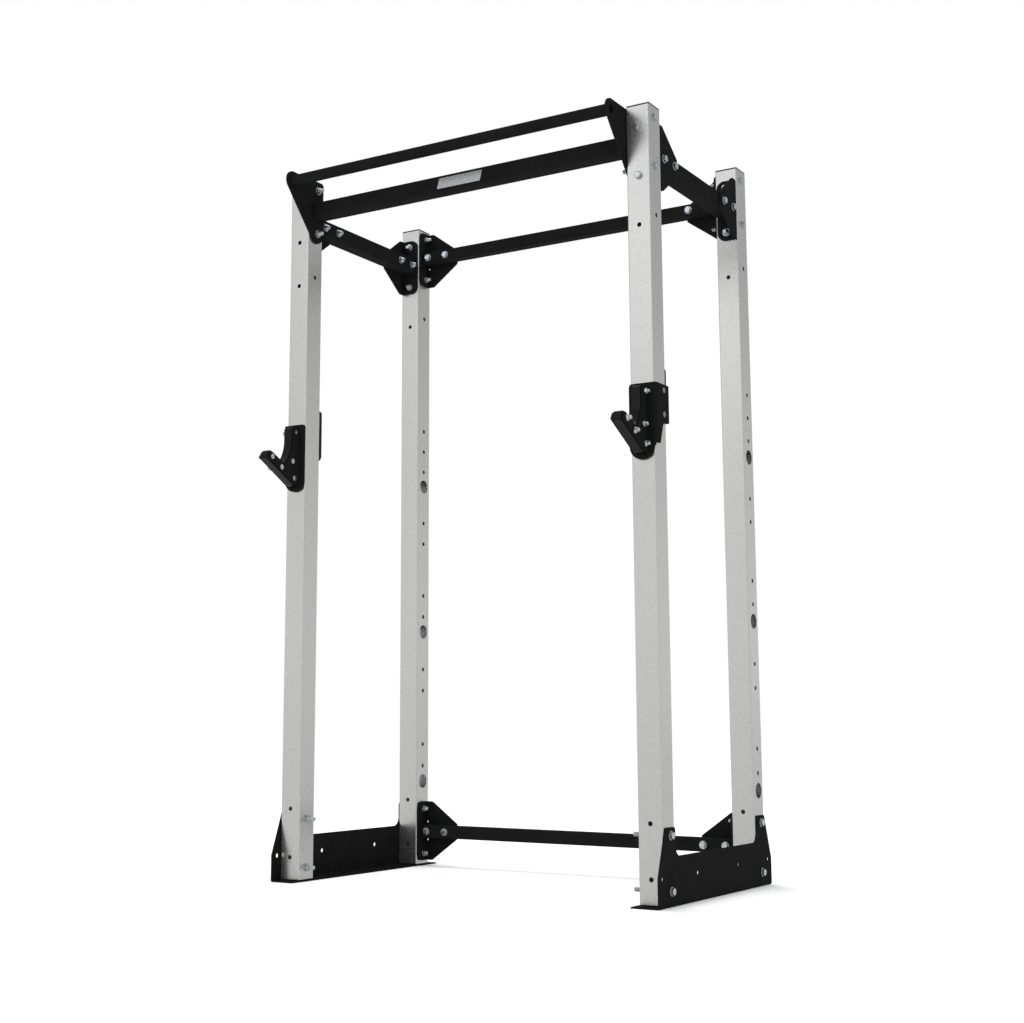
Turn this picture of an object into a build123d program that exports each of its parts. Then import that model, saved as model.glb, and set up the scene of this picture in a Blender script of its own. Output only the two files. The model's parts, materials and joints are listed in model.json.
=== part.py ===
from build123d import *
import math
import os

# Power cage: four galvanised box-section uprights on two L-shaped base plates, tied
# together by bolted crossmembers, with a pull-up bar out front and a pair of J-cups
# that slide on the front uprights.
# Millimetres. +X is the cage's right side, -Y its front, +Z up.
# Pieces are worked out about the middle of the four uprights, on the floor. On export all
# of them are shifted along Y so that the origin is the middle of the whole footprint.

# ---------------------------------------------------------------- driving dimensions
POST = 70.0                 # box section of an upright, outside
POST_WALL = 3.0
POST_R = 4.0                # outside corner radius
PITCH_X = 1168.0            # left to right, upright centre to centre
PITCH_Y = 622.0             # front to rear
BASE_T = 4.0                # base plate steel
POST_GAP = 2.5              # upright's open end clears the bend below it
POST_TOP = 2145.0           # top of the box section
CAP_T = 5.0                 # part of the cap that stands above the section
CAP_PLUG = 15.0             # plug inside the section
CAP_PLUG_GAP = 0.2
CAP_EDGE = 1.0

BOLT_D = 12.0               # M12 throughout the frame
BOLT_HOLE_D = 13.0
HEAD_AF = 18.0
HEAD_H = 7.5
NUT_H = 10.0
WASHER_D = 24.0
WASHER_T = 2.5
BOLT_PITCH = 140.0          # the two bolts that hold a bracket to an upright
BASE_FRONT_BOLT = 105.0     # lengths under the head
BASE_REAR_BOLT = 100.0
TOP_X_BOLT = 100.0
TOP_Y_BOLT = 95.0
SIDE_BEAM_BOLT = 75.0
REAR_BEAM_BOLT = 65.0

BASE_BOLT_Z = 40.0          # lowest bolt along X through each upright
TOP_BOLT_X_Z = 2115.0       # highest bolt along X
TOP_BOLT_Y_Z = 2085.0       # highest bolt along Y
FACE_HOLE_LOW_Z = 70.0      # lowest spare hole along Y

BEAM = 50.0                 # side beams and front beam, square tube
BEAM_WALL = 3.0
BEAM_R = 5.0
REAR_BEAM = 40.0            # rear beams, square tube
REAR_BEAM_R = 4.0

PLATE_T = 6.0               # bent brackets and pull-up plates
BRACKET_HALF_H = 94.0
BRACKET_FLANGE_W = 60.0
BRACKET_WING = 120.0        # reach from the upright's face
BRACKET_TIP_HALF = 24.0     # half height at the wing's end
BRACKET_ROOT = 24.0         # reach of the full-height stretch
BRACKET_R = 24.0            # flange's outer corners
BRACKET_WING_R = 8.0
WING_HOLE_U = 28.0          # first beam bolt, from the upright's face
WING_HOLE_PITCH = 70.0
RELIEF_D = 7.0
RELIEF_Z = 28.5
SLIT_W = 2.5                # beyond the reliefs the flange is cut free of the wing

BAR_D = 33.7                # pull-up bar
BAR_WALL = 3.2
BAR_Y = 124.0               # bar's centre in front of the upright's centre
BAR_Z = 2113.5
EAR_R = 30.0                # rounded ends of the pull-up plate
EAR_CORNER_R = 4.0          # the plate's third corner

# rear uprights: accessory holes along X, one large and its small ones per group
PEG_D = 44.0
PEG_TOP_Z = 1250.0
PEG_PITCH = 490.0
PEG_COUNT = 3
ACC_PITCH = 70.0            # small holes come in pairs this far apart
ACC_UP = 50.0               # large hole to the nearest small hole above it
ACC_DOWN = 125.0            # and to the nearest below it

BEAM_END_GAP = 4.0          # beam end to bracket flange
BADGE_LEN = 149.0
BADGE_H = 32.0
BADGE_SLANT = 8.0           # how far the top edge is set to one side of the bottom edge
BADGE_T = 2.0
BADGE_R = 2.0
BADGE_RIVET_X = 67.5
BADGE_RIVET_D = 5.0
RIVET_DOME_R = 6.0
RIVET_HEAD_H = 2.5

# base plates
BASE_LEN = 770.0
BASE_EAR_H = 200.0
BASE_MID_H = 126.0
BASE_EAR_HALF = 27.5        # an ear's top, outward of the bolt line
BASE_EAR_SKEW = 4.5         # and this much more inward of it
BASE_KINK_Z = 77.0          # where an ear's sloping outer edge turns vertical
BASE_FILLET = 27.0
BASE_EAR_R = 8.0
BASE_BEND_R = 6.5           # outside of the base plate's bend
BASE_BEND_IN_R = 2.4        # inside of it
BEND_R = 5.0                # outside of a bracket's bend
BASE_FLANGE_W = 80.0
BASE_HOLE_Z = 74.0
BASE_HOLE_D = 13.0
BASE_HOLE_OUT = 360.0
BASE_HOLE_IN = 140.0

# J-cups
CUP_T = 6.0                 # bent bracket steel
CUP_GAP = 0.5               # between liners and upright
LINER_T = 2.5
LINER_INSET = 5.0           # from the steel's edges
SCREW_SHORT = 0.3           # a small screw stops this far before the end of its hole
CUP_PLATE_TOP = 1362.5      # front plate's top edge at rest
CUP_PLATE_H = 206.5
CUP_WING_BOTTOM = 1199.0
CUP_WING_STEP = 1261.0
CUP_BEND_R = 10.0
CUP_EDGE_OVER = 1.0         # front plate's inner edge past the upright's side
CUP_CORNER_R = 10.0
CUP_SLOPE = (1.0, -20.0)    # y where the wing's sloping edge starts and ends
CUP_SLOPE_R = 4.0
HOOK_W = 25.0               # plastic core
CHEEK_T = 6.0               # steel cheek on each side of the core
CHEEK_INSET = 3.0
CUP_FLANGE_REACH = 28.0     # rear flange past the upright's centre line
HOOK_DROP = 12.0            # hook's top below the front plate's top
HOOK_ARM = 32.5             # upper arm's thickness in front of the plate
THROAT_H = 40.0             # straight stretch of the arm's front face
NOTCH = (36.5, 116.0)       # lowest point of the throat: in front of the arm, below the top
THROAT_BOW = (11.0, 85.0)   # a point on the curve between them, measured the same way
TIP_TOP = (68.0, 32.5)      # tip's upper corner: in front of the notch, above it
TIP_FRONT = (17.0, 25.0)    # tip's lower corner: in front of the upper one, below it
HEEL = (22.0, 178.0)        # lower corner: in front of the plate, below the hook's top
HOOK_H = 182.0
HOOK_TOP_R = 6.0
HOOK_TIP_R = 8.0
HOOK_HEEL_R = 14.0
SOCKET_AF = 5.0             # key recess in a hook screw
SOCKET_DEPTH = 2.0
HOOK_BOLT_D = 10.0
HOOK_HOLE_D = 10.5
HOOK_NUT_AF = 16.0
HOOK_NUT_H = 9.0
HOOK_TAIL = 5.0
HOOK_BOLTS = (              # (y, z) about the upright's centre line
    (-58.0, 1336.0),
    (-172.0, 1246.5),
    (-74.0, 1245.0),
    (-127.0, 1220.5),
    (-65.0, 1194.0),
)
SINK_D = 15.0               # countersunk head of a hook screw
SINK_GAP = 0.05
SMALL_SCREW_D = 6.0
SMALL_HOLE_PLAY = 0.4       # hole in steel, over the screw
SMALL_BITE_PLAY = 0.1       # hole in plastic, over the screw
PAD_HEAD_D = 10.0
LINER_HEAD_D = 16.0
LINER_SCREWS = ((7.0, 1347.0), (7.0, 1281.0))      # (y, z)
PAD_SCREWS = ((0.0, 1290.0), (0.0, 1335.0))        # (x, z)
PAD_SCREW_BITE = 5.0
PAD_TOP = 1421.0
PAD_W = 60.0
PAD_OUT = 19.0              # pad's back face behind the upright's rear face
PAD_R = 15.0
PAD_EDGE_R = 3.0

# ------------------------------------------------------------------ worked-out values
HALF_X = PITCH_X / 2
HALF_Y = PITCH_Y / 2
HALF_POST = POST / 2
SIDES = {"left": -1, "right": 1}
ENDS = {"front": -1, "rear": 1}
INNER_X = HALF_X - HALF_POST          # an upright's inner face
OUTER_X = HALF_X + HALF_POST
BASE_BOLTS_Z = (BASE_BOLT_Z, BASE_BOLT_Z + BOLT_PITCH)
TOP_BOLTS_X_Z = (TOP_BOLT_X_Z - BOLT_PITCH, TOP_BOLT_X_Z)
TOP_BOLTS_Y_Z = (TOP_BOLT_Y_Z - BOLT_PITCH, TOP_BOLT_Y_Z)
EMPTY_Y_HOLE = ("left", "front", TOP_BOLTS_Y_Z[0])     # left without a bolt
SIDE_BEAM_Z = TOP_BOLT_Y_Z - BOLT_PITCH / 2
REAR_TOP_Z = TOP_BOLT_X_Z - BOLT_PITCH / 2
REAR_LOW_Z = BASE_BOLT_Z + BOLT_PITCH / 2
SPARE_X_Z = TOP_BOLT_X_Z - 2 * BOLT_PITCH
SPARES_Y_Z = (
    FACE_HOLE_LOW_Z,
    FACE_HOLE_LOW_Z + BOLT_PITCH,
    TOP_BOLT_Y_Z - 2 * BOLT_PITCH,
)
PEG_Z = tuple(PEG_TOP_Z - i * PEG_PITCH for i in range(PEG_COUNT))

# turn a piece that is built along +Z to point another way
TO_PLUS_X = Rotation(0, 90, 0)
TO_MINUS_X = Rotation(0, -90, 0)
TO_PLUS_Y = Rotation(-90, 0, 0)
TO_MINUS_Y = Rotation(90, 0, 0)


# ------------------------------------------------------------------------ small helpers
def square_tube(length, side, wall, radius):
    """A box section along +Z from z = 0."""
    outline = RectangleRounded(side, side, radius)
    hollow = RectangleRounded(side - 2 * wall, side - 2 * wall, radius - wall / 2)
    return extrude(outline - hollow, amount=length)


def block(x0, x1, y0, y1, z0, z1):
    """A box from its limits along each axis."""
    return Pos((x0 + x1) / 2, (y0 + y1) / 2, (z0 + z1) / 2) * Box(x1 - x0, y1 - y0, z1 - z0)


def drill_x(diameter, length, y, z, x=0.0):
    """A drill along X, centred on x."""
    return Pos(x, y, z) * Rotation(0, 90, 0) * Cylinder(diameter / 2, length)


def drill_y(diameter, length, x, z, y=0.0):
    """A drill along Y, centred on y."""
    return Pos(x, y, z) * Rotation(90, 0, 0) * Cylinder(diameter / 2, length)


def drill_all(solid, drills):
    for drill in drills:
        solid = solid - drill
    return solid


def hex_prism(across_flats, height):
    """A hexagon from z = 0 up, with the usual chamfer on its top corners."""
    corner_r = across_flats / math.sqrt(3)
    prism = extrude(RegularPolygon(corner_r, 6), amount=height)
    turned = Pos(0, 0, height / 2) * Cylinder(corner_r, height)
    turned = chamfer(turned.edges().sort_by(Axis.Z)[-1], corner_r - 0.96 * across_flats / 2)
    return prism & turned


def hex_bolt(length, diameter=BOLT_D, across_flats=HEAD_AF, head_h=HEAD_H):
    """Bearing face of the head on z = 0, shank up to z = length."""
    head = Rotation(180, 0, 0) * hex_prism(across_flats, head_h)
    shank = Pos(0, 0, length / 2) * Cylinder(diameter / 2, length)
    shank = chamfer(shank.edges().sort_by(Axis.Z)[-1], 1.0)
    return head + shank


def hex_nut(across_flats=HEAD_AF, height=NUT_H, diameter=BOLT_D):
    """Stands on z = 0."""
    thread_gap = 0.2
    return hex_prism(across_flats, height) - Cylinder((diameter + thread_gap) / 2, 3 * height)


def washer():
    """Stands on z = 0."""
    ring = Cylinder(WASHER_D / 2, WASHER_T) - Cylinder(BOLT_HOLE_D / 2, 2 * WASHER_T)
    return Pos(0, 0, WASHER_T / 2) * ring


def bolted_joint(start, turn, thickness, length):
    """Bolt, two washers and a nut through a stack that starts at start and is this thick."""
    place = Pos(*start) * turn
    bolt = place * Pos(0, 0, -WASHER_T) * hex_bolt(length)
    under_head = place * Pos(0, 0, -WASHER_T) * washer()
    under_nut = place * Pos(0, 0, thickness) * washer()
    nut = place * Pos(0, 0, thickness + WASHER_T) * hex_nut()
    return bolt, (under_head, under_nut), nut


# ------------------------------------------------------------------------------ frame
def upright(side, end):
    """One box-section upright, with its bolt holes and, at the rear, accessory holes."""
    bottom = BASE_T + POST_GAP
    post = Pos(0, 0, bottom) * square_tube(POST_TOP - bottom, POST, POST_WALL, POST_R)
    through = 2 * POST
    for z in BASE_BOLTS_Z + TOP_BOLTS_X_Z + (SPARE_X_Z,):
        post = post - drill_x(BOLT_HOLE_D, through, 0, z)
    for z in TOP_BOLTS_Y_Z + SPARES_Y_Z:
        post = post - drill_y(BOLT_HOLE_D, through, 0, z)
    if end == "rear":
        for drill in accessory_drills(through):
            post = post - drill
    return Pos(SIDES[side] * HALF_X, ENDS[end] * HALF_Y, 0) * post


def accessory_drills(length):
    """Large hole and its small ones, repeated down a rear upright."""
    small = [PEG_Z[0] + ACC_UP + 2 * ACC_PITCH]
    for z in PEG_Z:
        small += [z + ACC_UP, z + ACC_UP + ACC_PITCH]
    for z in PEG_Z[:-1]:
        small += [z - ACC_DOWN, z - ACC_DOWN - ACC_PITCH]
    drills = [drill_x(PEG_D, length, 0, z) for z in PEG_Z]
    return drills + [drill_x(BOLT_HOLE_D, length, 0, z) for z in small]


def post_caps():
    """A plate with a plug below it closes the top of each upright."""
    plug_side = POST - 2 * (POST_WALL + CAP_PLUG_GAP)
    plate = extrude(RectangleRounded(POST, POST, POST_R), amount=CAP_T)
    plate = chamfer(plate.faces().sort_by(Axis.Z)[-1].edges(), CAP_EDGE)
    plug = extrude(RectangleRounded(plug_side, plug_side, POST_R - POST_WALL / 2), amount=-CAP_PLUG)
    cap = plate + plug
    return [
        Pos(x * HALF_X, y * HALF_Y, POST_TOP) * cap for x in (-1, 1) for y in (-1, 1)
    ]


def base_plate(side):
    """Standing plate outside two uprights, with a floor flange under them."""
    ear_out = HALF_Y + BASE_EAR_HALF
    ear_in = HALF_Y - BASE_EAR_HALF - BASE_EAR_SKEW
    half_len = BASE_LEN / 2
    outline = Polyline(
        (-half_len, 0),
        (-half_len, BASE_KINK_Z),
        (-ear_out, BASE_EAR_H),
        (-ear_in, BASE_EAR_H),
        (-ear_in, BASE_MID_H),
        (ear_in, BASE_MID_H),
        (ear_in, BASE_EAR_H),
        (ear_out, BASE_EAR_H),
        (half_len, BASE_KINK_Z),
        (half_len, 0),
        close=True,
    )
    standing = extrude(Plane.YZ * make_face(outline), amount=BASE_T)
    upright_edges = standing.edges().filter_by(Axis.X)
    inner_corners = [
        e for e in upright_edges
        if abs(abs(e.center().Y) - ear_in) < 1 and abs(e.center().Z - BASE_MID_H) < 1
    ]
    standing = fillet(inner_corners, BASE_FILLET)
    ear_corners = [
        e for e in standing.edges().filter_by(Axis.X) if abs(e.center().Z - BASE_EAR_H) < 1
    ]
    standing = fillet(ear_corners, BASE_EAR_R)
    flange = Pos(BASE_T - BASE_FLANGE_W / 2, 0, BASE_T / 2) * Box(BASE_FLANGE_W, BASE_LEN, BASE_T)
    plate = standing + flange
    along = plate.edges().filter_by(Axis.Y)
    outside = [e for e in along if abs(e.center().X - BASE_T) + abs(e.center().Z) < 0.1]
    plate = fillet(outside, BASE_BEND_R)
    along = plate.edges().filter_by(Axis.Y)
    inside = [e for e in along if abs(e.center().X) + abs(e.center().Z - BASE_T) < 0.1]
    plate = fillet(inside, BASE_BEND_IN_R)
    for y in (-HALF_Y, HALF_Y):
        for z in BASE_BOLTS_Z:
            plate = plate - drill_x(BOLT_HOLE_D, 4 * BASE_T, y, z)
    for y in (-BASE_HOLE_OUT, -BASE_HOLE_IN, BASE_HOLE_IN, BASE_HOLE_OUT):
        plate = plate - drill_x(BASE_HOLE_D, 4 * BASE_T, y, BASE_HOLE_Z)
    if side == "left":
        plate = mirror(plate, about=Plane.YZ)
    return Pos(SIDES[side] * OUTER_X, 0, 0) * plate


def pull_up_plate(side):
    """Three-cornered plate on the inside of a front upright; its ear holds the bar."""
    bar_end = Pos(-BAR_Y, BAR_Z) * Circle(EAR_R)
    low_end = Pos(0, TOP_BOLTS_X_Z[0]) * Circle(EAR_R)
    inset = EAR_R - EAR_CORNER_R
    corner = Pos(inset, BAR_Z + inset) * Circle(EAR_CORNER_R)
    outline = make_hull((bar_end + low_end + corner).edges())
    plate = extrude(Plane.YZ * outline, amount=PLATE_T)
    for z in TOP_BOLTS_X_Z:
        plate = plate - drill_x(BOLT_HOLE_D, 4 * PLATE_T, 0, z)
    plate = plate - drill_x(BAR_D, 4 * PLATE_T, -BAR_Y, BAR_Z)
    x = -INNER_X if side == "left" else INNER_X - PLATE_T
    return Pos(x, -HALF_Y, 0) * plate


def pull_up_bar():
    length = 2 * INNER_X
    bar = Cylinder(BAR_D / 2, length) - Cylinder(BAR_D / 2 - BAR_WALL, 2 * length)
    return Pos(0, -HALF_Y - BAR_Y, BAR_Z) * TO_PLUS_X * bar


def front_beam():
    """Square tube welded between the pull-up plates."""
    length = 2 * (INNER_X - PLATE_T)
    tube = Pos(0, 0, -length / 2) * square_tube(length, BEAM, BEAM_WALL, BEAM_R)
    return Pos(0, -HALF_Y, REAR_TOP_Z) * TO_PLUS_X * tube


def badge_plate():
    """Blank slant-ended plate riveted to the middle of the front beam."""
    half_len = BADGE_LEN / 2
    half_h = BADGE_H / 2
    shift = BADGE_SLANT / 2
    outline = Polyline(
        (-half_len - shift, -half_h),
        (half_len - shift, -half_h),
        (half_len + shift, half_h),
        (-half_len + shift, half_h),
        close=True,
    )
    plate = extrude(make_face(outline), amount=BADGE_T)
    plate = fillet(plate.edges().filter_by(Axis.Z), BADGE_R)
    for x in (-BADGE_RIVET_X, BADGE_RIVET_X):
        plate = plate - Pos(x, 0, 0) * Cylinder(BADGE_RIVET_D / 2 + 0.1, 4 * BADGE_T)
    return Pos(0, -HALF_Y - BEAM / 2, REAR_TOP_Z) * TO_MINUS_Y * plate


def badge_rivets():
    """Domed head on the badge; the short stem stops in the badge's own hole."""
    cut = 2 * RIVET_DOME_R
    sunk = RIVET_DOME_R - RIVET_HEAD_H
    dome = Sphere(RIVET_DOME_R) - Pos(0, 0, sunk - cut) * Box(2 * cut, 2 * cut, 2 * cut)
    head = Pos(0, 0, BADGE_T - sunk) * dome
    stem = Pos(0, 0, BADGE_T / 2) * Cylinder(BADGE_RIVET_D / 2, BADGE_T)
    rivet = head + stem
    face = Pos(0, -HALF_Y - BEAM / 2, REAR_TOP_Z) * TO_MINUS_Y
    return [face * Pos(x, 0, 0) * rivet for x in (-BADGE_RIVET_X, BADGE_RIVET_X)]


def wing_bolt_offsets():
    """Distances from an upright's centre line to the two beam bolts."""
    first = HALF_POST + WING_HOLE_U
    return (first, first + WING_HOLE_PITCH)


def side_beam(side):
    """Runs front to rear between two uprights' bracket flanges."""
    half_len = HALF_Y - HALF_POST - PLATE_T - BEAM_END_GAP
    tube = Pos(0, 0, -half_len) * square_tube(2 * half_len, BEAM, BEAM_WALL, BEAM_R)
    beam = TO_PLUS_Y * tube
    for offset in wing_bolt_offsets():
        for y in (-HALF_Y + offset, HALF_Y - offset):
            beam = beam - drill_x(BOLT_HOLE_D, 2 * BEAM, y, 0)
    return Pos(SIDES[side] * HALF_X, 0, SIDE_BEAM_Z) * beam


def rear_beam(z):
    """Runs left to right between the rear uprights' bracket flanges."""
    half_len = HALF_X - HALF_POST - PLATE_T - BEAM_END_GAP
    tube = Pos(0, 0, -half_len) * square_tube(2 * half_len, REAR_BEAM, BEAM_WALL, REAR_BEAM_R)
    beam = TO_PLUS_X * tube
    for offset in wing_bolt_offsets():
        for x in (-HALF_X + offset, HALF_X - offset):
            beam = beam - drill_y(BOLT_HOLE_D, 2 * REAR_BEAM, x, 0)
    return Pos(0, HALF_Y, z) * beam


def corner_bracket(beam_side):
    """Bent bracket in its own frame: the upright's face is x = 0 and the beam runs along +X.

    The flange lies on that face across Y; the wing stands at y = beam_side / 2, outside
    the beam, so that a bolt through wing and beam runs along Y.
    """
    wing_y = beam_side / 2
    flange_out = wing_y + PLATE_T - BRACKET_FLANGE_W
    flange = block(0, PLATE_T, flange_out, wing_y + PLATE_T, -BRACKET_HALF_H, BRACKET_HALF_H)
    far_corners = [
        e for e in flange.edges().filter_by(Axis.X) if abs(e.center().Y - flange_out) < 0.1
    ]
    flange = fillet(far_corners, BRACKET_R)
    outline = Polyline(
        (0, -BRACKET_HALF_H),
        (BRACKET_ROOT, -BRACKET_HALF_H),
        (BRACKET_WING, -BRACKET_TIP_HALF),
        (BRACKET_WING, BRACKET_TIP_HALF),
        (BRACKET_ROOT, BRACKET_HALF_H),
        (0, BRACKET_HALF_H),
        close=True,
    )
    wing = Pos(0, wing_y + PLATE_T, 0) * extrude(Plane.XZ * make_face(outline), amount=PLATE_T)
    soft = [e for e in wing.edges().filter_by(Axis.Y) if e.center().X > 1]
    wing = fillet(soft, BRACKET_WING_R)
    for sign in (-1, 1):
        z_near, z_far = sorted((sign * RELIEF_Z, sign * 2 * BRACKET_HALF_H))
        flange = flange - block(-1, 2 * PLATE_T, wing_y - SLIT_W, wing_y, z_near, z_far)
    bracket = flange + wing
    bend = [
        e for e in bracket.edges().filter_by(Axis.Z)
        if abs(e.center().X) < 0.1 and abs(e.center().Y - wing_y - PLATE_T) < 0.1
    ]
    bracket = fillet(bend, BEND_R)
    for z in (-BOLT_PITCH / 2, BOLT_PITCH / 2):
        bracket = bracket - drill_x(BOLT_HOLE_D, 4 * PLATE_T, 0, z)
    for offset in wing_bolt_offsets():
        bracket = bracket - drill_y(BOLT_HOLE_D, 4 * PLATE_T, offset - HALF_POST, 0, wing_y)
    for z in (-RELIEF_Z, RELIEF_Z):
        bracket = bracket - drill_y(RELIEF_D, 4 * PLATE_T, PLATE_T + 1.0, z, wing_y)
    return bracket


def side_bracket(side, end):
    """Bracket between an upright and the side beam; its wing is outside the beam."""
    bracket = corner_bracket(BEAM)
    toward = -ENDS[end]                      # the beam leaves the upright this way along Y
    if SIDES[side] * toward > 0:
        bracket = mirror(bracket, about=Plane.XZ)
    turn = Rotation(0, 0, 90 * toward)
    x = SIDES[side] * HALF_X
    y = ENDS[end] * (HALF_Y - HALF_POST)
    return Pos(x, y, SIDE_BEAM_Z) * turn * bracket


def rear_bracket(side, z):
    """Bracket between a rear upright and a rear beam; its wing is behind the beam."""
    bracket = corner_bracket(REAR_BEAM)
    if side == "right":
        bracket = mirror(bracket, about=Plane.YZ)
    return Pos(SIDES[side] * INNER_X, HALF_Y, z) * bracket


def base_joints(end):
    """Base plate to upright, and at the rear also to the low beam's bracket."""
    joints = []
    stack = BASE_T + POST + (PLATE_T if end == "rear" else 0.0)
    length = BASE_REAR_BOLT if end == "rear" else BASE_FRONT_BOLT
    for s in SIDES.values():
        turn = TO_MINUS_X if s > 0 else TO_PLUS_X
        for z in BASE_BOLTS_Z:
            start = (s * (OUTER_X + BASE_T), ENDS[end] * HALF_Y, z)
            joints.append(bolted_joint(start, turn, stack, length))
    return joints


def top_joints_x():
    """Upright to pull-up plate in front, and to the top rear beam's bracket behind."""
    joints = []
    for s in SIDES.values():
        turn = TO_MINUS_X if s > 0 else TO_PLUS_X
        for e in ENDS.values():
            for z in TOP_BOLTS_X_Z:
                start = (s * OUTER_X, e * HALF_Y, z)
                joints.append(bolted_joint(start, turn, POST + PLATE_T, TOP_X_BOLT))
    return joints


def top_joints_y():
    """Upright to side beam bracket; heads face out of the cage. One hole has no bolt."""
    joints = []
    for end, e in ENDS.items():
        turn = TO_MINUS_Y if e > 0 else TO_PLUS_Y
        for side, s in SIDES.items():
            for z in TOP_BOLTS_Y_Z:
                if (side, end, z) == EMPTY_Y_HOLE:
                    continue
                start = (s * HALF_X, e * (HALF_Y + HALF_POST), z)
                joints.append(bolted_joint(start, turn, POST + PLATE_T, TOP_Y_BOLT))
    return joints


def side_beam_joints():
    """Wing to side beam, heads outside."""
    joints = []
    for s in SIDES.values():
        turn = TO_MINUS_X if s > 0 else TO_PLUS_X
        x = s * (HALF_X + BEAM / 2 + PLATE_T)
        for offset in wing_bolt_offsets():
            for y in (-HALF_Y + offset, HALF_Y - offset):
                start = (x, y, SIDE_BEAM_Z)
                joints.append(bolted_joint(start, turn, BEAM + PLATE_T, SIDE_BEAM_BOLT))
    return joints


def rear_beam_joints():
    """Wing to rear beam, heads in front."""
    joints = []
    y = HALF_Y - REAR_BEAM / 2
    for z in (REAR_TOP_Z, REAR_LOW_Z):
        for offset in wing_bolt_offsets():
            for x in (-HALF_X + offset, HALF_X - offset):
                start = (x, y, z)
                joints.append(bolted_joint(start, TO_PLUS_Y, REAR_BEAM + PLATE_T, REAR_BEAM_BOLT))
    return joints


# ------------------------------------------------------------------------------ J-cups
# Modelled for the right upright, about that upright's own centre line, then mirrored.
CUP_OUT = HALF_POST + CUP_GAP + LINER_T + CUP_T      # outer face of the bent bracket
CUP_IN = CUP_OUT - CUP_T                             # its inner face
HOOK_BACK = -CUP_OUT                                 # the hook stands on the front plate
HOOK_TOP_Z = CUP_PLATE_TOP - HOOK_DROP


def hook_points():
    """Corners of the hook's side view as (y, z), from its top in front down to its heel."""
    face_y = HOOK_BACK - HOOK_ARM
    notch = (face_y - NOTCH[0], HOOK_TOP_Z - NOTCH[1])
    tip_top = (notch[0] - TIP_TOP[0], notch[1] + TIP_TOP[1])
    return {
        "top": (face_y, HOOK_TOP_Z),
        "throat_top": (face_y, HOOK_TOP_Z - THROAT_H),
        "throat_mid": (face_y - THROAT_BOW[0], HOOK_TOP_Z - THROAT_BOW[1]),
        "notch": notch,
        "tip_top": tip_top,
        "tip_front": (tip_top[0] - TIP_FRONT[0], tip_top[1] - TIP_FRONT[1]),
        "heel": (HOOK_BACK - HEEL[0], HOOK_TOP_Z - HEEL[1]),
    }


def hook_face(back):
    """Side view: throat for the bar, then a rising arm with a clipped tip. Corners rounded."""
    p = hook_points()
    back_top = (back, HOOK_TOP_Z)
    foot = (back, HOOK_TOP_Z - HOOK_H)
    outline = (
        Line(back_top, p["top"])
        + Line(p["top"], p["throat_top"])
        + ThreePointArc(p["throat_top"], p["throat_mid"], p["notch"])
        + Line(p["notch"], p["tip_top"])
        + Line(p["tip_top"], p["tip_front"])
        + Line(p["tip_front"], p["heel"])
        + Line(p["heel"], foot)
        + Line(foot, back_top)
    )
    face = Plane.YZ * make_face(outline)
    face = round_corner(face, p["top"], HOOK_TOP_R)
    face = round_corner(face, p["tip_top"], HOOK_TIP_R)
    face = round_corner(face, p["tip_front"], HOOK_TIP_R)
    return round_corner(face, p["heel"], HOOK_HEEL_R)


def round_corner(face, corner, radius):
    """Fillet the one vertex of the face that stands at corner, a (y, z)."""
    at_corner = min(face.vertices(), key=lambda v: math.dist((v.Y, v.Z), corner))
    return fillet(at_corner, radius)


def hook_core():
    """Thick plastic core of the hook."""
    core = extrude(hook_face(HOOK_BACK), amount=HOOK_W)
    core = Pos(-HOOK_W / 2, 0, 0) * core
    return drill_all(core, hook_drills(HOOK_HOLE_D))


def hook_cheek(outward):
    """Steel cheek beside the core, a little smaller than it; outward is +1 or -1."""
    outline = offset(hook_face(HOOK_BACK + CHEEK_INSET), amount=-CHEEK_INSET)
    cheek = extrude(outline, amount=CHEEK_T)
    cheek = Pos(HOOK_W / 2 if outward > 0 else -HOOK_W / 2 - CHEEK_T, 0, 0) * cheek
    cheek = drill_all(cheek, hook_drills(HOOK_HOLE_D))
    if outward < 0:
        for y, z in HOOK_BOLTS:
            cheek = cheek - Pos(-HOOK_W / 2 - CHEEK_T, y, z) * TO_PLUS_X * sink_cone(SINK_GAP)
    return cheek


def hook_drills(diameter):
    return [drill_x(diameter, 4 * HOOK_W, y, z) for y, z in HOOK_BOLTS]


def sink_cone(gap=0.0):
    """Countersink from z = 0 up, wide end down."""
    small_r = HOOK_BOLT_D / 2
    depth = SINK_D / 2 - small_r
    return Pos(0, 0, depth / 2) * Cone(SINK_D / 2 + gap, small_r + gap, depth)


def hook_screws():
    """Flush heads on the cheek nearer the cage's middle, threads through to the outside."""
    length = HOOK_W + 2 * CHEEK_T + HOOK_NUT_H + HOOK_TAIL
    shank = Pos(0, 0, length / 2) * Cylinder(HOOK_BOLT_D / 2, length)
    screw = shank + sink_cone() - hex_socket(SOCKET_AF, SOCKET_DEPTH)
    return [
        Pos(-HOOK_W / 2 - CHEEK_T, y, z) * TO_PLUS_X * screw for y, z in HOOK_BOLTS
    ]


def hex_socket(across_flats, depth):
    """Key recess, from below z = 0 up to this depth."""
    outline = RegularPolygon(across_flats / math.sqrt(3), 6)
    return Pos(0, 0, -depth) * extrude(outline, amount=2 * depth)


def hook_nuts():
    nut = hex_nut(HOOK_NUT_AF, HOOK_NUT_H, HOOK_BOLT_D)
    return [Pos(HOOK_W / 2 + CHEEK_T, y, z) * TO_PLUS_X * nut for y, z in HOOK_BOLTS]


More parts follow.
